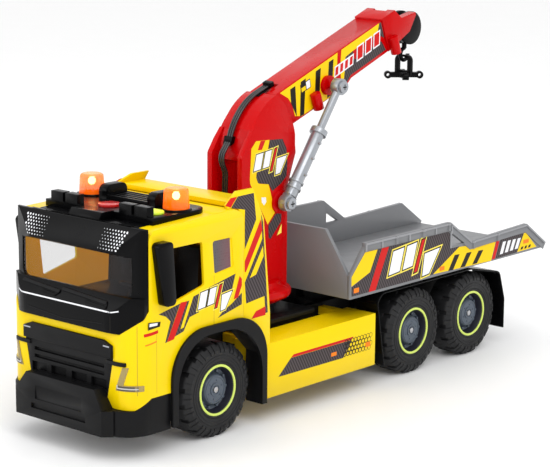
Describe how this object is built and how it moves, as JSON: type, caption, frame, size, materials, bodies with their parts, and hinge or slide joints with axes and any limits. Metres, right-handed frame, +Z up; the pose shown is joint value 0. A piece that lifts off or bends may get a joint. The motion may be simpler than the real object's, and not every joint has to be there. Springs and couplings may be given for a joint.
{
  "type": "toy tow truck",
  "caption": "Three-axle toy tow truck: cab-over cab with roof beacons, slewing crane with luffing, telescoping boom and hook, and a tilting load tray on a ladder frame",
  "frame": {"origin": "on the ground under the middle of the length and width, between the three axles", "axes": "-Y is the truck's front, +X its left side and +Z up"},
  "size_m": [0.172, 0.596, 0.3385],
  "materials": {
    "yellow_plastic": "gloss moulded plastic",
    "black_plastic": "gloss moulded plastic",
    "dark_plastic": "satin moulded plastic",
    "red_plastic": "gloss moulded plastic",
    "grey_plastic": "satin moulded plastic",
    "silver_plastic": "metallised plastic",
    "hub_plastic": "metallic plastic",
    "orange_lens": "translucent plastic",
    "clear_lens": "clear plastic",
    "window": "clear plastic",
    "red_button": "gloss plastic",
    "neon_dome": "translucent plastic",
    "tyre": "soft rubber",
    "steel": "plain steel"
  },
  "bodies": {
    "chassis": {"front_axle": "steel", "middle_axle": "steel", "rear_axle": "steel", "chassis_frame": "dark_plastic", "bed_hinge_pin": "steel", "crane_deck": "dark_plastic", "side_skirts": "yellow_plastic", "rear_mudguards": "black_plastic", "cab_shell": "yellow_plastic", "cab_floor": "black_plastic", "front_mask": "black_plastic", "windscreen": "window", "grille": "dark_plastic", "front_bumper": "dark_plastic", "wheel_arches": "dark_plastic", "headlamps": "clear_lens", "mirrors": "black_plastic", "dashboard": "dark_plastic", "steering_wheel": "black_plastic", "seats": "black_plastic", "roof_rack": "black_plastic", "beacons": "orange_lens", "sound_button": "red_button", "roof_dome": "neon_dome", "roof_fairing": "yellow_plastic"},
    "crane": {"crane_column": "red_plastic", "boom_pivot_pin": "steel", "hoses": "black_plastic", "hose_clips": "black_plastic"},
    "boom": {"boom": "red_plastic"},
    "boom_head": {"boom_extension": "red_plastic", "tip_block": "black_plastic"},
    "barrels": {"cylinder_barrels": "silver_plastic"},
    "pistons": {"cylinder_rods": "silver_plastic"},
    "load_hook": {"hook": "black_plastic", "spreader": "black_plastic"},
    "tray": {"bed_floor": "grey_plastic", "bed_sides": "grey_plastic", "bed_headboard": "grey_plastic", "bed_beams": "dark_plastic"},
    "front_left_wheel": {"front_left_tyre": "tyre", "front_left_rim": "hub_plastic"},
    "front_right_wheel": {"front_right_tyre": "tyre", "front_right_rim": "hub_plastic"},
    "middle_left_wheel": {"middle_left_tyre": "tyre", "middle_left_rim": "hub_plastic"},
    "middle_right_wheel": {"middle_right_tyre": "tyre", "middle_right_rim": "hub_plastic"},
    "rear_left_wheel": {"rear_left_tyre": "tyre", "rear_left_rim": "hub_plastic"},
    "rear_right_wheel": {"rear_right_tyre": "tyre", "rear_right_rim": "hub_plastic"}
  },
  "joints": [
    {"name": "front_left_wheel_spin", "type": "hinge", "parent": "chassis", "child": "front_left_wheel", "pos_m": [0.0588, -0.182, 0.041], "axis": [1, 0, 0], "continuous": true},
    {"name": "front_right_wheel_spin", "type": "hinge", "parent": "chassis", "child": "front_right_wheel", "pos_m": [-0.0588, -0.182, 0.041], "axis": [1, 0, 0], "continuous": true},
    {"name": "middle_left_wheel_spin", "type": "hinge", "parent": "chassis", "child": "middle_left_wheel", "pos_m": [0.0588, 0.0896, 0.041], "axis": [1, 0, 0], "continuous": true},
    {"name": "middle_right_wheel_spin", "type": "hinge", "parent": "chassis", "child": "middle_right_wheel", "pos_m": [-0.0588, 0.0896, 0.041], "axis": [1, 0, 0], "continuous": true},
    {"name": "rear_left_wheel_spin", "type": "hinge", "parent": "chassis", "child": "rear_left_wheel", "pos_m": [0.0588, 0.1821, 0.041], "axis": [1, 0, 0], "continuous": true},
    {"name": "rear_right_wheel_spin", "type": "hinge", "parent": "chassis", "child": "rear_right_wheel", "pos_m": [-0.0588, 0.1821, 0.041], "axis": [1, 0, 0], "continuous": true},
    {"name": "crane_slew", "type": "hinge", "parent": "chassis", "child": "crane", "pos_m": [0, -0.067, 0.088], "axis": [0, 0, 1], "continuous": true},
    {"name": "boom_luff", "type": "hinge", "parent": "crane", "child": "boom", "pos_m": [0, -0.045, 0.248], "axis": [1, 0, 0], "range_deg": [-24, 3]},
    {"name": "boom_slide", "type": "slide", "parent": "boom", "child": "boom_head", "axis": [0, -0.9367, -0.3502], "range_m": [-0.06, 0]},
    {"name": "cylinder_swing", "type": "hinge", "parent": "crane", "child": "barrels", "pos_m": [0, -0.046, 0.1775], "axis": [1, 0, 0], "range_deg": [-13, 2]},
    {"name": "cylinder_stroke", "type": "slide", "parent": "barrels", "child": "pistons", "axis": [0, 0.5849, 0.8111], "range_m": [-0.0195, 0.003]},
    {"name": "hook_swing", "type": "hinge", "parent": "boom_head", "child": "load_hook", "pos_m": [0, 0.16036, 0.31838], "axis": [1, 0, 0], "range_deg": [-35, 30]},
    {"name": "tray_tilt", "type": "hinge", "parent": "chassis", "child": "tray", "pos_m": [0, 0.21, 0.084], "axis": [-1, 0, 0], "range_deg": [0, 12]}
  ],
  "couplings": [
    {"joint": "cylinder_swing", "follows": "boom_luff", "ratio": 0.527},
    {"joint": "cylinder_stroke", "follows": "boom_luff", "m_per_rad": 0.0445}
  ]
}
